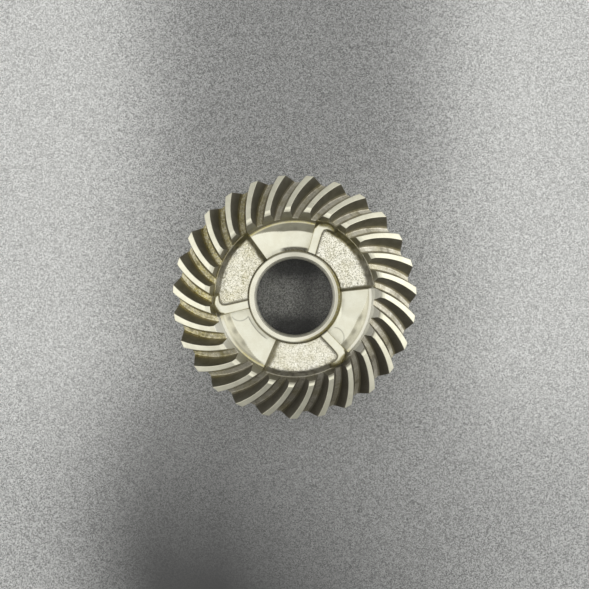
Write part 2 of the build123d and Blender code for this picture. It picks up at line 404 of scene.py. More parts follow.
def dog_surface(r, ang, seed):
    """Height of one dog's surface, and how much of it is the machined pad."""
    x, y = r * np.cos(rad(ang)), r * np.sin(rad(ang))
    ca = seed * 120.0
    gx, gy = x * np.cos(rad(ca)) - y * np.sin(rad(ca)), x * np.sin(rad(ca)) + y * np.cos(rad(ca))
    wob = 0.10 * noise(gx, gy, 0 * gx, 3.2, 11)
    top = DOG_Z + 0.05 * noise(gx, gy, 0 * gx, 4.0, 5)
    d_end = r * np.sin(rad(ang - DOG_CW)) + wob * 0.6
    end = drop_curve(2.3 - d_end, [(0.0, 0.0), (0.5, 0.12), (1.1, 0.55), (1.6, 1.7), (1.85, 3.2), (2.2, 3.5), (2.6, 3.5)])
    u = r - DOG_R + wob
    out = drop_curve(u, [(-0.75, 0.0), (-0.3, 0.22), (-0.05, 0.9), (0.2, 1.55), (0.5, 1.0), (0.9, 0.74), (2.0, 0.66), (2.4, 1.4)])
    lug = smin(top - end, top - out, 0.55)
    # machined pad on its raised ridge
    po, pi_ = smooth_path(PAD_OUT), smooth_path(PAD_IN)
    poly = np.vstack([po, pi_])
    ins = inside_polygon(x, y, poly)
    do, di = nearest(x, y, po), nearest(x, y, pi_)
    dt = nearest(x, y, np.vstack([po[-1], pi_[0]]))
    near_in = (di < do)
    d_out = np.where(ins, 0, np.minimum(do, dt))
    z_out = PAD_Z - drop_curve(d_out, [(0.0, 0.5), (0.12, 2.0), (0.4, 2.5), (1.2, 3.2), (3.0, 4.0)])
    d_in = np.where(ins, 0, di)
    z_in = PAD_Z - drop_curve(d_in, [(0.0, 0.9), (0.10, 1.6), (0.42, 1.25), (0.8, 0.5), (1.2, 0.3), (2.5, 0.9), (4.0, 1.5)])
    ridge = np.where(near_in, z_in, z_out)
    edge = np.where(ins, np.minimum(np.minimum(do, di), dt), -1)
    pad = PAD_Z - np.where(edge < 0.10, 0.030 * (1 - np.clip(edge, 0, 0.10) / 0.10) ** 2, 0)
    tip = np.clip(1 - do / 1.05, 0, 1) * sstep(73.0, 70.0, ang) * sstep(22.8, 24.0, r)
    pad = pad - 0.34 * tip ** 2
    ridge = np.where(ins, pad, ridge)
    mask = np.clip(edge / 0.06, 0, 1)
    z = np.where(ins, ridge, smax(lug, ridge, 0.10))
    # as-forged grain everywhere but on the pad
    wall = np.clip((DOG_Z - 0.35 - z) / 0.5, 0, 1)
    ga = (1 - mask) * (1 - 0.72 * wall) * np.where(ins, 0, 1)
    near_rim = 1 + 0.9 * sstep(22.2, 23.9, r) + 0.6 * sstep(4.0, 2.0, d_end)
    g = 0.042 * noise(gx, gy, z, 0.42, 21) + 0.046 * noise(gx, gy, z, 0.80, 22) + 0.034 * noise(gx, gy, z, 1.9, 24) + 0.016 * noise(gx, gy, z, 0.26, 23)
    g = g * near_rim
    pits = np.clip(noise(gx, gy, z, 0.55, 31) - 0.45, 0, 1)
    z = z + ga * (g - 0.10 * pits)
    return z, mask


def dog_shell(k):
    """Vertices, faces and classes of one dog: forged lug, machined pad, vertical driving face."""
    rr = np.concatenate([[15.03, 15.1, 15.2], np.arange(15.32, 27.62, 0.115)])
    aa = np.concatenate([np.arange(4.2, 73.6, 0.26), [73.65, 73.78, 73.88, 73.95, 74.0]])
    R, A = np.meshgrid(rr, aa, indexing="ij")
    z, mask = dog_surface(R, A, k)
    e = (DOG_CCW - A) * R * np.pi / 180
    z = z - np.where(e < 0.14, 0.10 * (1 - e / 0.14) ** 2, 0)
    z = z - np.where(R < 15.3, 0.20 * ((15.3 - R) / 0.27) ** 2, 0)
    z = np.maximum(z, 24.2)
    rot = rad(A + 120.0 * k)
    n, m = R.shape
    top = np.stack([R * np.cos(rot), R * np.sin(rot), z], -1)
    base = np.stack([top[[0, -1], :, 0], top[[0, -1], :, 1], np.full((2, m), 22.3)], -1)
    verts = np.vstack([top.reshape(-1, 3), base.reshape(-1, 3)])
    idx = np.arange(n * m).reshape(n, m)
    ib, ob = n * m + np.arange(m), n * m + m + np.arange(m)
    quads = np.stack([idx[:-1, :-1], idx[1:, :-1], idx[1:, 1:], idx[:-1, 1:]], -1).reshape(-1, 4)
    qm = (mask[:-1, :-1] + mask[1:, :-1] + mask[1:, 1:] + mask[:-1, 1:]).reshape(-1) / 4
    faces = quads.tolist()
    kinds = np.where(qm > 0.5, MILLED, FORGED).tolist()
    for j in range(m - 1):
        faces += [[idx[0, j], idx[0, j + 1], ib[j + 1], ib[j]],
                  [idx[-1, j + 1], idx[-1, j], ob[j], ob[j + 1]],
                  [ib[j], ib[j + 1], ob[j + 1], ob[j]]]
        kinds += [FORGED] * 3
    faces.append([idx[i, 0] for i in range(n - 1, -1, -1)] + [ib[0], ob[0]])
    faces.append([idx[i, m - 1] for i in range(n)] + [ob[m - 1], ib[m - 1]])
    kinds += [FORGED, MILLED]
    return verts, [[int(v) for v in f] for f in faces], kinds


def mesh_object(name, verts, faces):
    me = bpy.data.meshes.new(name)
    me.from_pydata((np.asarray(verts) * MM).tolist(), [], faces)
    ob = bpy.data.objects.new(name, me)
    bpy.context.scene.collection.objects.link(ob)
    return ob


LAND, FLANK, ROOT, TURNED, MILLED, FORGED, REAR = range(7)


def body_classes(n_rows, toe_row, heel_row):
    """Class of every quad of the body grid."""
    kinds = [k for k, _ in PLAN] * TEETH
    cls = np.full((n_rows, TEETH * NCOL), REAR)
    cls[:toe_row] = TURNED
    for j, k in enumerate(kinds):
        c = {"land": LAND, "tip_": LAND, "flan": FLANK, "fil_": ROOT, "root": ROOT}[k[:4]]
        c = ROOT if k == "flank_r" else c
        cls[toe_row:heel_row, j] = c
    cls[heel_row:heel_row + 9] = TURNED
    return cls


def build_gear():
    P, toe_row, heel_row = gear_body()
    n, m = P.shape[:2]
    idx = np.arange(n * m).reshape(n, m)
    b = np.roll(idx, -1, 0)
    quads = np.stack([idx, b, np.roll(b, -1, 1), np.roll(idx, -1, 1)], -1).reshape(-1, 4)
    cls = body_classes(n, toe_row, heel_row).reshape(-1)
    cen = P.reshape(-1, 3)[quads].mean(1)
    r, a = np.hypot(cen[:, 0], cen[:, 1]), np.degrees(np.arctan2(cen[:, 1], cen[:, 0]))
    am = np.mod(a - 40.0, 120.0) + 40.0
    slot = (am > 72.5) & (am < 130) & (r < 24.3) & (cen[:, 2] > 20)
    u = r * np.sin(rad(am - RAMP_CW))
    ramp = FLOOR_Z + RAMP_M * np.maximum(u, 0)
    cone = FLOOR_Z + (r - FLOOR_R) * (RING_Z - FLOOR_Z) / (RING_R0 - FLOOR_R)
    cls[slot & ((r < FLOOR_R) | (ramp > cone))] = MILLED
    body = mesh_object("ring_gear_body", P.reshape(-1, 3), quads.tolist())
    src_c, src_k = [cen], [cls]
    parts = []
    for k in range(3):
        v, f, kd = dog_shell(k)
        parts.append(mesh_object("dog_%d" % k, v, f))
        q = len(f) - 2
        src_c.append(np.array([v[fi].mean(0) for fi in f[:q]]))
        src_k.append(np.array(kd[:q]))
    for d in parts:
        mod = body.modifiers.new("join", "BOOLEAN")
        mod.operation = "UNION"
        mod.solver = "MANIFOLD"
        mod.object = d
    dg = bpy.context.evaluated_depsgraph_get()
    me = bpy.data.meshes.new_from_object(body.evaluated_get(dg))
    for o in parts + [body]:
        old = o.data
        bpy.data.objects.remove(o)
        bpy.data.meshes.remove(old)
    gear = bpy.data.objects.new("ring_gear_finish", me)
    bpy.context.scene.collection.objects.link(gear)
    return gear, np.vstack(src_c), np.concatenate(src_k)


def finish_gear(gear, src_c, src_k):
    """Classes, shading and surface masks of the united gear."""
    me = gear.data
    tree = KDTree(len(src_c))
    for i, c in enumerate(src_c):
        tree.insert(c, i)
    tree.balance()
    cen = np.zeros(len(me.polygons) * 3)
    me.polygons.foreach_get("center", cen)
    cen = cen.reshape(-1, 3) / MM
    cls = np.array([src_k[tree.find(c)[1]] for c in cen], np.int32)
    me.materials.clear()
    for m in (mat_land, mat_flank, mat_root, mat_turned, mat_milled, mat_forged, mat_rear):
        me.materials.append(m)
    me.polygons.foreach_set("material_index", cls)
    me.polygons.foreach_set("use_smooth", np.ones(len(me.polygons), bool))
    me.set_sharp_from_angle(angle=math.radians(42))
    co = np.zeros(len(me.vertices) * 3)
    me.vertices.foreach_get("co", co)
    co = co.reshape(-1, 3) / MM
    x, y, z = co.T
    r, a = np.hypot(x, y), np.degrees(np.arctan2(y, x))
    s = r * SD + (APEX - z) * CD
    h = r * CD - (APEX - z) * SD
    add = 1.603 - 0.04924 * (A_HEEL - s)
    ded = 3.895 - 0.0892 * (A_HEEL - s)
    v = (add - h) / (add + ded)
    teeth = sstep(25.6, 26.4, r) * (z > 19.0)
    n1, n2, n3 = noise(x, y, z, 2.4, 51), noise(x, y, z, 0.9, 52), noise(x, y, z, 5.5, 53)
    root = teeth * sstep(0.70, 0.93, v)
    full = np.mod(a, 360.0)
    left = sstep(92.0, 128.0, np.mod(a, 360.0)) * sstep(236.0, 205.0, np.mod(a, 360.0))
    oil = root * np.clip(0.10 + 0.66 * left + 0.25 * n1 + 0.15 * n3, 0, 1)
    ring = np.exp(-((r - 24.75) / 0.42) ** 2) * (z > 26.0) * (z < 27.0)
    oil = np.maximum(oil, ring * np.clip(0.85 + 0.3 * n1, 0, 1))
    joint = np.clip((15.55 - r) / 0.4, 0, 1) * (z > 23) * (r > 14.9)
    oil = np.maximum(oil, 0.7 * joint)
    # painted shade in the corners, round the sleeve and at the pads' steps; grime on the inner cone
    open_sector = sstep(72.0, 74.0, np.mod(a - 40.0, 120.0) + 40.0) * sstep(130.0, 128.0, np.mod(a - 40.0, 120.0) + 40.0)
    # painted shade at the foot of the sleeve
    grime_and_shade = np.clip((15.45 - r) / 0.2, 0, 0.8) * (z > 23)
    n4 = noise(x, y, z, 0.42, 54)
    # painted shade along the ring's two edges in the open sectors
    edge = np.maximum(0.42 * np.exp(-((r - 25.32) / 0.13) ** 2), 0.34 * np.exp(-((r - 24.20) / 0.12) ** 2))
    grime_and_shade = np.maximum(grime_and_shade, edge * open_sector * (z > 26.0) * (z < 27.3) * (0.8 + 0.4 * n1))
    # the ring's outer edge is darker at the top and the lower left, and painted sheen brightens the ring and the toe
    # cone at the sides
    flat = (z > 26.0) * (z < 26.75)
    ring_edge_darkening = np.interp(full, [0, 62, 72, 124, 130, 205, 226, 244, 250, 360], [0, 0, 0.74, 0.74, 0, 0.1, 0.48, 0.62, 0, 0])
    first = np.where(full < 180, 24.66, 24.98)
    grime_and_shade = np.maximum(grime_and_shade, ring_edge_darkening * sstep(first, first + 0.18, r) * (r < 25.5) * flat)
    dull = np.interp(full, [0, 208, 218, 242, 248, 360], [0, 0, 0.34, 0.44, 0, 0])
    grime_and_shade = np.maximum(grime_and_shade, dull * sstep(23.5, 24.0, r) * sstep(24.75, 24.4, r) * (z > 25.9) * (z < 26.75))
    shine = np.interp(full, [0, 8, 12, 193, 199, 210, 220, 228, 314, 319, 336, 360],
                      [0.9, 0.9, 0, 0, 0.85, 0.8, 0.4, 0, 0, 0.8, 0.85, 0.9])
    film_and_sheen = shine * sstep(24.2, 24.45, r) * (r < 25.35) * flat
    cone = np.interp(full, [0, 8, 14, 190, 198, 208, 216, 226, 232, 308, 316, 330, 352, 360],
                     [1.0, 0.9, 0, 0, 1.0, 1.0, 0.6, 0.2, 0, 0, 0.75, 0.8, 1.0, 1.0])
    film_and_sheen = np.maximum(film_and_sheen, cone * (z > 26.6) * (r > 25.3) * (r < 28.4))
    # painted shade on the tooth roots and flanks, varying by azimuth
    az = [0, 45, 90, 135, 180, 225, 270, 315, 360]
    shade = np.interp(full, az, [0.0, 0.06, 0.36, 0.20, 0.02, 0.26, 0.80, 0.34, 0.0])
    grime_and_shade = np.maximum(grime_and_shade, root * np.clip(shade + left * (0.10 + 0.40 * n4 + 0.15 * n2) + 0.06 * n1, 0, 0.9))
    side = teeth * sstep(0.05, 0.12, v) * sstep(0.93, 0.80, v)
    shade = np.interp(full, az, [0.58, 0.12, 0.32, 0.50, 0.08, 0.05, 0.78, 0.92, 0.58])
    grime_and_shade = np.maximum(grime_and_shade, side * np.clip(shade + 0.10 * n3, 0, 0.9))
    # painted shadow with an oil tint beside the sleeve joint on the lower right
    low = np.clip(np.cos(rad(a + 18.0)) - 0.30, 0, 0.4) / 0.4
    near_joint = sstep(15.60, 15.30, r) * (z > 23) * low
    oil = np.maximum(oil, near_joint)
    grime_and_shade = np.maximum(grime_and_shade, near_joint * (0.70 + 0.20 * np.exp(-((a + 42.0) / 30.0) ** 2)))
    am = np.mod(a - 40.0, 120.0) + 40.0
    for az, w in ((78.3, 2.2), (89.6, 2.6), (102.5, 2.8)):
        d2 = ((am - az) / w) ** 2 + ((r - 22.5) / 0.75) ** 2
        grime_and_shade = np.maximum(grime_and_shade, 0.38 * np.exp(-d2) * (z < 26.3) * (z > 24.0))
    neck = sstep(16.75, 16.25, r) * (z < 25.7) * (z > 24.6)
    grime_and_shade = np.maximum(grime_and_shade, neck * (0.10 + 0.84 * sstep(72.0, 77.0, a) * sstep(109.0, 101.0, a)))
    line = np.exp(-((r - 16.45) / 0.14) ** 2) * (z < 25.7) * (z > 24.6)
    grime_and_shade = np.maximum(grime_and_shade, (0.75 * line + 0.16 * neck) * (sstep(200.0, 206.0, np.mod(a, 360.0)) * sstep(240.0, 232.0, np.mod(a, 360.0))))
    # cutter's arc in the slot floor beside the pad
    pts = [(q * np.cos(rad(b)), q * np.sin(rad(b))) for q, b in ((21.3, 79.2), (18.85, 84.2), (16.4, 82.5))]
    (x1, y1), (x2, y2), (x3, y3) = pts
    dd = 2 * (x1 * (y2 - y3) + x2 * (y3 - y1) + x3 * (y1 - y2))
    ux = ((x1 ** 2 + y1 ** 2) * (y2 - y3) + (x2 ** 2 + y2 ** 2) * (y3 - y1) + (x3 ** 2 + y3 ** 2) * (y1 - y2)) / dd
    uy = ((x1 ** 2 + y1 ** 2) * (x3 - x2) + (x2 ** 2 + y2 ** 2) * (x1 - x3) + (x3 ** 2 + y3 ** 2) * (x2 - x1)) / dd
    rc = math.hypot(x1 - ux, y1 - uy)
    xm, ym = r * np.cos(rad(am)), r * np.sin(rad(am))
    dc = np.abs(np.hypot(xm - ux, ym - uy) - rc)
    arc = np.exp(-(dc / 0.16) ** 2) * (z < 25.3) * (z > 24.0) * (r < 21.6) * (r > 16.4) * (am < 92) * (am > 74)
    grime_and_shade = np.maximum(grime_and_shade, 0.5 * arc * (np.abs(a - 80.0) > 20.0))
    # forged lugs: darker blotches near the outer rim and the end, and painted shade towards the step, the outer rim and
    # the rounded end
    ad = np.mod(a, 120.0)
    on_dog = (ad > 6.0) & (ad < 74.2) & (z > 25.3) & (r < 26.6)
    which = np.clip((full / 120.0).astype(int), 0, 2)
    wide = np.array([1.55, 2.35, 2.30])[which]
    deep = np.array([0.88, 0.98, 0.76])[which]
    end = deep * sstep(wide, 0.5 * wide, r * np.sin(rad(ad - DOG_CW)) + 0.3 * n1)
    inner = np.array([23.10, 23.60, 23.55])[which]
    rim = sstep(inner, inner + 1.2, r + 0.2 * n2) * sstep(26.6, 25.8, r)
    # painted shade on the outer walls, stronger beside the step of the first lug and at the end of the second
    rim_shade_by_angle = np.interp(full, [0, 30, 42, 60, 76, 120, 126, 137, 148, 160, 168, 182, 188, 360],
                     [1.0, 1.0, 1.08, 1.11, 1.11, 1.11, 1.11, 1.08, 1.0, 0.95, 0.74, 0.74, 1.0, 1.0])
    wet = np.interp(full, [24, 40, 50, 76, 120, 126, 136, 146, 360], [0.1, 0.65, 0.95, 0.95, 1.0, 1.0, 0.8, 0.1, 0.1])
    po = smooth_path(PAD_OUT)
    pi_ = smooth_path(PAD_IN)
    xd, yd = r * np.cos(rad(ad)), r * np.sin(rad(ad))
    near = np.where(on_dog)[0]
    dab = sstep(22.3, 24.0, r) + 0.8 * sstep(3.6, 2.2, r * np.sin(rad(ad - DOG_CW)))
    dab = on_dog * (z < 29.0) * np.clip(dab, 0, 1.2) * np.clip(0.8 * n4 + 0.5 * n2 + 0.06, 0, 1)
    grime_and_shade = np.maximum(grime_and_shade, 0.72 * dab)
    oil = np.maximum(oil, 0.55 * end * on_dog * (ad < 40))
    oil = np.maximum(oil, wet * rim * on_dog * (z < 28.9))
    # painted shade at the pad's step, along the pad's rounded edges and on its rounded tip
    step_shade = np.zeros_like(r)
    oil = np.maximum(oil, on_dog * np.array([0.10, 0.26, 0.12])[which] * np.clip(0.7 + 0.8 * n3 + 0.3 * n1, 0, 1.3))
    di, do = nearest(xd[near], yd[near], pi_), nearest(xd[near], yd[near], po)
    ins = inside_polygon(xd[near], yd[near], np.vstack([po, pi_]))
    step_shade[near] = np.where(ins, 0, np.maximum(0.95 * np.exp(-(di / 0.58) ** 2), np.array([0.97, 0.55, 0.94])[which[near]] * np.exp(-(do / 1.1) ** 2)))
    lip = np.maximum(0.50 * np.exp(-(do / 0.22) ** 2), 0.35 * np.exp(-(di / 0.16) ** 2))
    tip_in = sstep(1.9, 0.4, do) * sstep(24.0, 25.0, r[near]) * np.array([0.85, 0.10, 0.80])[which[near]]
    step_shade[near] = np.where(ins, np.maximum(lip, tip_in), step_shade[near])
    oil[near] = np.maximum(np.where(ins, 0, oil[near]), np.where(
        ins, np.maximum(1.6 * lip, tip_in), np.exp(-(do / 0.9) ** 2)) * (ad[near] > 52))
    tone = 0.96 + 0.08 * n2
    lug_shade = np.where(on_dog, np.maximum(np.maximum(end, 0.90 * rim_shade_by_angle * rim) * (z < 28.9), step_shade) * tone, 0)
    grime_and_shade = np.maximum(grime_and_shade, lug_shade)
    lug = on_dog * 1.0
    lug = on_dog * np.array([1.0, 0.95, 0.62])[which]
    for name, val in (("oil", oil), ("grime_and_shade", np.clip(grime_and_shade, 0, 1)), ("lug", lug), ("film_and_sheen", film_and_sheen)):
        att = me.attributes.new(name, "FLOAT", "POINT")
        att.data.foreach_set("value", np.asarray(val, np.float32))


# -------------------------------------------------------------------- materials
class Nodes:
    def __init__(self, name, world=False):
        if world:
            self.block = bpy.data.worlds.new(name)
        else:
            self.block = bpy.data.materials.new(name)
        self.block.use_nodes = True
        self.t = self.block.node_tree
        self.t.nodes.clear()

    def add(self, kind, **props):
        n = self.t.nodes.new(kind)
        for k, v in props.items():
            setattr(n, k, v)
        return n

    def put(self, socket, value):
        if isinstance(value, bpy.types.NodeSocket):
            self.t.links.new(value, socket)
        else:
            socket.default_value = value

    def math(self, op, a, b=0.0, c=None, clamp=False):
        n = self.add("ShaderNodeMath", operation=op, use_clamp=clamp)
        self.put(n.inputs[0], a)
        self.put(n.inputs[1], b)
        if c is not None:
            self.put(n.inputs[2], c)
        return n.outputs[0]

    def ramp(self, x, x0, x1, y0, y1, smooth=True):
        n = self.add("ShaderNodeMapRange", interpolation_type="SMOOTHSTEP" if smooth else "LINEAR")
        for i, v in enumerate((x, x0, x1, y0, y1)):
            self.put(n.inputs[i], v)
        return n.outputs[0]

    def mix(self, f, a, b):
        n = self.add("ShaderNodeMix", data_type="RGBA")
        self.put(n.inputs["Factor"], f)
        self.put([s for s in n.inputs if s.name == "A" and s.type == "RGBA"][0], a)
        self.put([s for s in n.inputs if s.name == "B" and s.type == "RGBA"][0], b)
        return [s for s in n.outputs if s.type == "RGBA"][0]

    def noise(self, vec, scale, detail=3.0, rough=0.55):
        n = self.add("ShaderNodeTexNoise")
        self.put(n.inputs["Vector"], vec)
        n.inputs["Scale"].default_value = scale
        n.inputs["Detail"].default_value = detail
        n.inputs["Roughness"].default_value = rough
        return n.outputs["Fac"]

    def attr(self, name):
        return self.add("ShaderNodeAttribute", attribute_name=name).outputs["Fac"]

    def combine(self, x, y, z):
        n = self.add("ShaderNodeCombineXYZ")
        for i, v in enumerate((x, y, z)):
            self.put(n.inputs[i], v)
        return n.outputs[0]


def c4(r, g, b):
    return (r, g, b, 1.0)


OIL = c4(0.52, 0.44, 0.11)
# near-black colour for real grime and for painted shade
SHADE_AND_GRIME = c4(0.055, 0.045, 0.03)


def steel(name, light, dark, rough, marks=None, mark_h=1.2e-6, grain=0.0, grain_size=0.3,
          metal=1.0, speck=0.0, spread=0.16, aniso=0.0, film_and_sheen=0.0, mark_tone=0.20):
    """Cut or forged steel in object space: tone patches, marks of its making, fine grain, oil, grime with painted
    shade, and a pale film with painted sheen.
    """
    k = Nodes(name)
    pos = k.add("ShaderNodeTexCoord").outputs["Object"]
    sep = k.add("ShaderNodeSeparateXYZ")
    k.put(sep.inputs[0], pos)
    x, y, z = sep.outputs
    r = k.math("SQRT", k.math("ADD", k.math("MULTIPLY", x, x), k.math("MULTIPLY", y, y)))
    a = k.math("ABSOLUTE", k.math("ARCTAN2", y, x))        # mirrored, so there is no seam at 180 degrees
    patch = k.noise(pos, 330.0, 4.0, 0.6)
    fine = k.noise(pos, 1.0 / (grain_size * MM), 3.0, 0.6)
    tone = k.ramp(k.math("ADD", k.math("MULTIPLY", patch, 0.65), k.math("MULTIPLY", fine, 0.35)), 0.34, 0.66, 0, 1)
    col = k.mix(tone, dark, light)
    if speck:
        dots = k.noise(pos, 2500.0, 2.0, 0.8)
        amount = k.math("ADD", k.math("MULTIPLY", k.attr("oil"), 0.75 * speck), 0.25 * speck) if marks else k.math("MULTIPLY", k.attr("lug"), speck)
        col = k.mix(k.math("MULTIPLY", k.ramp(dots, 0.34, 0.50, 0.88, 0.0), amount), col, c4(0.105, 0.108, 0.07))
        col = k.mix(k.math("MULTIPLY", k.ramp(dots, 0.51, 0.64, 0.0, 1.0), amount), col, c4(0.99, 0.98, 0.90))
    height = k.math("MULTIPLY", k.math("SUBTRACT", fine, 0.5), grain)
    rgh = k.math("ADD", rough - spread / 2, k.math("MULTIPLY", k.noise(pos, 900.0, 3.0), spread))
    if marks == "rings":
        vec = k.combine(k.math("MULTIPLY", r, 1.0), k.math("MULTIPLY", a, 0.0004), k.math("MULTIPLY", z, 1.0))
        line = k.noise(vec, 5200.0, 2.0, 0.7)
        wide = k.noise(vec, 1500.0, 2.0, 0.6)
    elif marks == "tooth":
        sx = k.math("SUBTRACT", k.math("MULTIPLY", r, SD), k.math("MULTIPLY", z, CD))
        hy = k.math("ADD", k.math("MULTIPLY", r, CD), k.math("MULTIPLY", z, SD))
        vec = k.combine(k.math("MULTIPLY", sx, 0.10), hy, k.math("MULTIPLY", a, 0.0015))
        line = k.noise(vec, 5000.0, 2.0, 0.7)
        wide = k.noise(vec, 1300.0, 2.0, 0.6)
    elif marks == "mill":
        vec = k.combine(k.math("MULTIPLY", r, 0.16), k.math("MULTIPLY", a, 0.018), 0.0)
        line = k.noise(vec, 4200.0, 2.0, 0.7)
        wide = k.noise(vec, 1100.0, 2.0, 0.6)
    if marks:
        both = k.math("ADD", k.math("MULTIPLY", line, 0.6), k.math("MULTIPLY", wide, 0.4))
        height = k.math("ADD", height, k.math("MULTIPLY", k.math("SUBTRACT", both, 0.5), mark_h * 4))
        col = k.mix(k.ramp(both, 0.30, 0.55, mark_tone, 0.0), col, dark)
        if mark_tone > 0.3:
            col = k.mix(k.ramp(both, 0.36, 0.46, 0.5 * mark_tone, 0.0), col, SHADE_AND_GRIME)
            col = k.mix(k.ramp(both, 0.54, 0.66, 0.0, 0.6 * mark_tone), col, c4(0.95, 0.93, 0.82))
        rgh = k.math("ADD", rgh, k.ramp(both, 0.3, 0.7, 0.05, -0.05))
    if True:
        drops = k.noise(pos, 1700.0, 2.0, 0.75)
        o = k.math("MULTIPLY", k.attr("oil"), k.ramp(drops, 0.40, 0.56, 0.42, 1.0))
        # the darkening attribute holds real grime, and painted shade in corners, creases and on faces turned from the
        # light
        d = k.math("MULTIPLY", k.attr("grime_and_shade"), k.ramp(fine, 0.3, 0.7, 0.75, 1.0))
        col = k.mix(k.math("MULTIPLY", o, 0.75), col, OIL)
        col = k.mix(d, col, SHADE_AND_GRIME)
        col = k.mix(k.math("MULTIPLY", k.math("MULTIPLY", o, d), 0.85), col, c4(0.15, 0.125, 0.018))
        # painted deep shade where the darkening is near full, for the dark lines round the forged lugs
        if marks is None:
            col = k.mix(k.ramp(k.attr("grime_and_shade"), 0.80, 1.0, 0.0, 0.62), col, c4(0.035, 0.033, 0.018))
        rgh = k.math("SUBTRACT", rgh, k.math("MULTIPLY", o, 0.08))
        rgh = k.math("ADD", rgh, k.math("MULTIPLY", d, 0.25))
        met = k.math("SUBTRACT", metal, k.math("MULTIPLY", d, 0.5), clamp=True)
        # painted sheen: where this attribute is set the steel turns paler and less metallic; on the gear it brightens
        # the ring and toe cone at the sides, on the sleeve's bore it is a pale film
        if film_and_sheen:
            f = k.attr("film_and_sheen")
            met = k.math("SUBTRACT", met, k.math("MULTIPLY", f, film_and_sheen), clamp=True)
            rgh = k.math("ADD", rgh, k.math("MULTIPLY", f, 0.2))
            col = k.mix(k.math("MULTIPLY", f, k.ramp(d, 0.0, 0.6, 0.9, 0.4)), col, c4(0.86, 0.85, 0.77))
    p = k.add("ShaderNodeBsdfPrincipled")
    k.put(p.inputs["Base Color"], col)
    k.put(p.inputs["Roughness"], k.math("MAXIMUM", rgh, 0.08))
    k.put(p.inputs["Metallic"], met)
    if aniso:
        p.inputs["Anisotropic"].default_value = aniso
        tan = k.add("ShaderNodeTangent", direction_type="RADIAL", axis="Z")
        k.put(p.inputs["Tangent"], tan.outputs[0])
    bump = k.add("ShaderNodeBump")
    bump.inputs["Strength"].default_value = 1.0
    bump.inputs["Distance"].default_value = 1.0
    k.put(bump.inputs["Height"], height)
    k.put(p.inputs["Normal"], bump.outputs[0])
    out = k.add("ShaderNodeOutputMaterial")
    k.put(out.inputs["Surface"], p.outputs[0])
    return k.block


mat_land = steel("tooth_land_steel", c4(0.77, 0.75, 0.61), c4(0.67, 0.65, 0.52), 0.34, "rings", 1.1e-6, 3e-6, 0.25, aniso=0.3)
# painted shade: the flank steel is a darker copy of the land steel
mat_flank = steel("tooth_flank_steel", c4(0.33, 0.32, 0.265), c4(0.23, 0.22, 0.175), 0.38, "tooth", 1.2e-6, 4e-6, 0.3)
mat_root = steel("tooth_root_steel", c4(0.66, 0.63, 0.53), c4(0.50, 0.47, 0.37), 0.34, "tooth", 1.6e-6, 5e-6, 0.35, speck=0.75, mark_tone=0.75)
mat_turned = steel("turned_steel", c4(0.62, 0.60, 0.475), c4(0.50, 0.48, 0.37), 0.36, "rings", 1.6e-6, 3e-6, 0.3, aniso=0.3, film_and_sheen=0.35)
mat_milled = steel("milled_steel", c4(0.77, 0.76, 0.64), c4(0.70, 0.68, 0.55), 0.36, "mill", 1.2e-6, 3e-6, 0.3)
mat_forged = steel("forged_steel", c4(0.84, 0.82, 0.72), c4(0.66, 0.63, 0.50), 0.44, None, 0, 3.0e-5, 0.4, spread=0.25, speck=0.9)
mat_rear = steel("rear_steel", c4(0.58, 0.55, 0.48), c4(0.46, 0.43, 0.36), 0.36, "rings", 1.4e-6, 4e-6, 0.4, aniso=0.3)
mat_sleeve = steel("sleeve_steel", c4(0.80, 0.78, 0.66), c4(0.72, 0.70, 0.575), 0.28, "rings", 1.8e-6, 2e-6, 0.3, aniso=0.55, film_and_sheen=0.95)


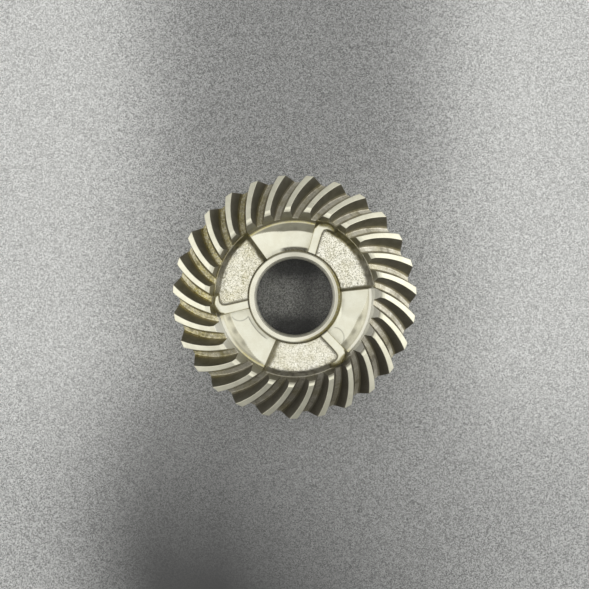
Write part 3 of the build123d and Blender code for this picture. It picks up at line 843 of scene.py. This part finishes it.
def build_sleeve():
    """Turned sleeve: rounded outer lip, small inner chamfer, straight bore."""
    prof = [(13.0, 1.2), (13.0, 0.9), (13.5, 0.4), (14.55, 0.4), (14.97, 0.82), (14.97, 2.0),
            (14.97, 8.0), (14.97, 16.0), (14.97, 22.0), (14.97, 26.0), (14.97, 28.6)]
    for t in np.linspace(0, 90, 11):
        prof.append((14.30 + 0.67 * math.cos(rad(t)), 29.43 + 0.55 * math.sin(rad(t))))
    prof += [(14.2, 29.98), (14.1, 29.98), (14.0, 29.98), (13.9, 29.98), (13.78, 29.98), (13.68, 29.98), (13.58, 29.98), (13.45, 29.98), (13.3, 29.98), (13.22, 29.98), (13.17, 29.965),
             (13.06, 29.86), (13.0, 29.78), (13.0, 29.0), (13.0, 26.0), (13.0, 20.0), (13.0, 14.0), (13.0, 7.0)]
    prof = np.array(prof)
    m = 384
    a = np.arange(m) * 360.0 / m
    P = np.stack([prof[:, :1] * np.cos(rad(a)), prof[:, :1] * np.sin(rad(a)),
                  np.repeat(prof[:, 1:], m, 1)], -1)
    n = len(prof)
    idx = np.arange(n * m).reshape(n, m)
    b = np.roll(idx, -1, 0)
    quads = np.stack([idx, np.roll(idx, -1, 1), np.roll(b, -1, 1), b], -1).reshape(-1, 4)
    ob = mesh_object("bore_sleeve_finish", P.reshape(-1, 3), quads.tolist())
    me = ob.data
    me.materials.append(mat_sleeve)
    me.polygons.foreach_set("use_smooth", np.ones(len(me.polygons), bool))
    me.set_sharp_from_angle(angle=math.radians(42))
    co = P.reshape(-1, 3)
    r = np.hypot(co[:, 0], co[:, 1])
    ang = np.degrees(np.arctan2(co[:, 1], co[:, 0]))
    n1 = noise(co[:, 0], co[:, 1], co[:, 2], 2.2, 61)
    edge = sstep(14.35, 14.75, r) * (co[:, 2] > 28)
    low = np.clip(np.cos(rad(ang + 18.0)) - 0.30, 0, 0.4) / 0.4
    band = sstep(13.95, 14.30, r) * (co[:, 2] > 28) * low
    oil = np.maximum(edge * 0.25, band)
    face = np.interp(np.mod(ang, 360.0), [0, 45, 90, 135, 180, 225, 270, 315, 360],
                     [0.26, 0.03, 0.38, 0.0, 0.0, 0.08, 0.04, 0.32, 0.26])
    face = face * (co[:, 2] > 29.7)
    groove = np.exp(-((r - 13.68) / 0.10) ** 2) * (co[:, 2] > 29.7) * low
    start = 14.50 - 0.25 * np.maximum(np.cos(rad(ang - 40.0)), 0)
    # painted shade on the outer rounded lip
    grime_and_shade = np.maximum(0.74 * sstep(start, start + 0.36, r) * (co[:, 2] > 20), np.maximum(face, 0.5 * groove))
    # painted shadow with an oil tint on the lower right of the lip
    grime_and_shade = np.maximum(grime_and_shade, band * (0.72 + 0.20 * np.exp(-((ang + 42.0) / 30.0) ** 2)))
    # painted shade on the inner chamfer
    grime_and_shade = np.maximum(grime_and_shade, 0.35 * np.exp(-((r - 13.15) / 0.10) ** 2) * (co[:, 2] > 29.7))
    # painted shade on the bore wall, darker at the top and bottom
    grime_and_shade = np.maximum(grime_and_shade, (r < 13.02) * (0.04 + 0.72 * np.sin(rad(ang)) ** 2))
    film_and_sheen = (r < 13.02) * (co[:, 2] < 29.7) * 1.0
    for name, val in (("oil", np.clip(oil, 0, 1)), ("grime_and_shade", np.clip(grime_and_shade, 0, 1)), ("film_and_sheen", film_and_sheen)):
        att = me.attributes.new(name, "FLOAT", "POINT")
        att.data.foreach_set("value", np.asarray(val, np.float32))
    return ob


gear, src_centres, src_classes = build_gear()
finish_gear(gear, src_centres, src_classes)
sleeve = build_sleeve()

# ------------------------------------------------------------------------ stage
def floor_material():
    k = Nodes("table_matte")
    pos = k.add("ShaderNodeTexCoord").outputs["Object"]
    v = k.add("ShaderNodeTexVoronoi", feature="F1")
    k.put(v.inputs["Vector"], pos)
    v.inputs["Scale"].default_value = 3100.0
    vs = k.add("ShaderNodeSeparateColor")
    k.put(vs.inputs[0], v.outputs["Color"])
    n1 = k.ramp(vs.outputs[0], 0.0, 1.0, 0.33, 0.67, False)
    n2 = k.noise(pos, 3300.0, 1.0, 0.8)
    n3 = k.noise(pos, 6.0, 2.0, 0.5)
    f = k.math("ADD", k.math("MULTIPLY", n1, 0.7), k.math("MULTIPLY", n2, 0.3))
    col = k.mix(k.ramp(f, 0.36, 0.64, 0, 1, False), c4(0.085, 0.087, 0.085), c4(0.66, 0.665, 0.655))
    col = k.mix(k.ramp(n3, 0.3, 0.7, 0, 0.12), col, c4(0.33, 0.33, 0.32))
    sep = k.add("ShaderNodeSeparateXYZ")
    k.put(sep.inputs[0], pos)
    x2 = k.math("MULTIPLY", sep.outputs[0], sep.outputs[0])
    y2 = k.math("MULTIPLY", sep.outputs[1], sep.outputs[1])
    rr = k.math("SQRT", k.math("ADD", x2, y2))
    # painted shadow on the table under the bore
    under = k.ramp(rr, 0.0165, 0.0145, 0.0, 1.0)
    side = k.math("ADD", k.ramp(sep.outputs[0], -0.003, 0.006, 0.37, 0.57),
                  k.ramp(k.math("ABSOLUTE", k.math("SUBTRACT", sep.outputs[0], 0.0042)), 0.0, 0.0045, 0.12, 0.0))
    deep = k.math("MULTIPLY", k.ramp(y2, 0.000003, 0.000080, 0.0, 0.86), k.ramp(x2, 0.00001, 0.00010, 1.0, 0.5))
    keep = k.math("MULTIPLY", k.math("SUBTRACT", 1.0, side), k.math("SUBTRACT", 1.0, deep))
    keep = k.math("MULTIPLY", keep, k.ramp(f, 0.36, 0.64, 0.84, 1.16, False))
    bore_shadow = k.math("MULTIPLY", k.math("SUBTRACT", 1.0, keep), under)
    col = k.mix(bore_shadow, col, c4(0.004, 0.004, 0.004))
    # painted shadow on the table along its middle and below the gear, and painted light towards the far corners
    middle = k.ramp(x2, 0.0, 0.0042, 1.0, 0.0)
    near_y = k.math("ADD", k.ramp(sep.outputs[1], -0.050, -0.010, 0.58, 0.0), k.ramp(sep.outputs[1], -0.10, -0.048, 0.41, 0.0, False))
    near_x = k.math("MULTIPLY", k.ramp(sep.outputs[0], -0.098, -0.045, 0.0, 1.0), k.ramp(sep.outputs[0], -0.025, 0.105, 1.0, 0.0, False))
    far_y = k.ramp(sep.outputs[1], 0.015, 0.055, 0.0, 0.44)
    here = k.ramp(rr, 0.10, 0.19, 1.0, 0.0)
    table_shade = k.math("ADD", k.math("MULTIPLY", near_x, near_y), k.math("MULTIPLY", middle, far_y))
    col = k.mix(k.math("MULTIPLY", table_shade, here), col, c4(0.03, 0.03, 0.03))
    corner_light = k.math("MULTIPLY", k.ramp(x2, 0.0006, 0.0064, 0.0, 1.0), k.ramp(sep.outputs[1], -0.085, -0.005, 0.0, 0.40))
    corner_light = k.math("MULTIPLY", corner_light, k.ramp(rr, 0.13, 0.24, 1.0, 0.0))
    pale = k.mix(k.ramp(f, 0.38, 0.62, 0, 1, False), c4(0.52, 0.52, 0.51), c4(1.0, 1.0, 0.985))
    col = k.mix(corner_light, col, pale)
    p = k.add("ShaderNodeBsdfPrincipled")
    k.put(p.inputs["Base Color"], col)
    p.inputs["Roughness"].default_value = 0.42
    b = k.add("ShaderNodeBump")
    b.inputs["Strength"].default_value = 0.4
    b.inputs["Distance"].default_value = 1.0
    k.put(b.inputs["Height"], k.math("MULTIPLY", f, 4e-5))
    k.put(p.inputs["Normal"], b.outputs[0])
    out = k.add("ShaderNodeOutputMaterial")
    k.put(out.inputs["Surface"], p.outputs[0])
    return k.block


floor = mesh_object("floor", [(-3000, -3000, 0), (3000, -3000, 0), (3000, 3000, 0), (-3000, 3000, 0)], [(0, 1, 2, 3)])
floor.data.materials.append(floor_material())


def area(name, loc, size, power, colour=(1, 1, 1)):
    d = bpy.data.lights.new(name, "AREA")
    d.shape = "RECTANGLE"
    d.size, d.size_y = size
    d.energy = power
    d.color = colour
    o = bpy.data.objects.new(name, d)
    bpy.context.scene.collection.objects.link(o)
    o.location = loc
    aim = Vector((0, 0, 0.02)) - Vector(loc)
    o.rotation_euler = aim.to_track_quat("-Z", "Y").to_euler()
    return o


area("softbox_left", (-1.0, 0.12, 0.95), (1.3, 1.0), 1.7, (1.0, 0.99, 0.96))
area("softbox_right", (1.0, 0.12, 0.95), (1.3, 1.0), 2.2, (1.0, 0.99, 0.96))

w = Nodes("studio", world=True)
wc = w.add("ShaderNodeTexCoord").outputs["Generated"]
ws = w.add("ShaderNodeSeparateXYZ")
w.put(ws.inputs[0], wc)
wx, wy, wz = ws.outputs
front = w.ramp(wy, 0.35, 0.80, 0.0, 0.60)
rear = w.ramp(w.math("MULTIPLY", wy, -1.0), 0.30, 0.75, 0.0, 0.82)
right = w.ramp(wx, -0.8, 0.8, -0.06, 0.10)
low = w.ramp(wz, 0.0, 0.35, 0.12, 0.0)
lum = w.math("SUBTRACT", w.math("ADD", 1.12, right), w.math("ADD", w.math("ADD", front, rear), low))
bg = w.add("ShaderNodeBackground")
bg.inputs["Color"].default_value = c4(1.0, 1.0, 0.985)
w.put(bg.inputs["Strength"], lum)
wo = w.add("ShaderNodeOutputWorld")
w.put(wo.inputs["Surface"], bg.outputs[0])
bpy.context.scene.world = w.block
bpy.context.scene.view_settings.view_transform = "Standard"

cam = bpy.data.cameras.new("camera")
cam.lens, cam.sensor_width, cam.sensor_fit = 91.35, 36.0, "HORIZONTAL"
cam.clip_start, cam.clip_end = 0.01, 20.0
cam.dof.use_dof = False
cam_o = bpy.data.objects.new("camera", cam)
bpy.context.scene.collection.objects.link(cam_o)
cam_o.location = (-0.00005, 0.00081, 0.515)
cam_o.rotation_euler = (0, 0, 0)
bpy.context.scene.camera = cam_o

# ----------------------------------------------------------------------- ending
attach(gear, "root")
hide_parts("ring_gear")
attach(sleeve, "root")
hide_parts("bore_sleeve")
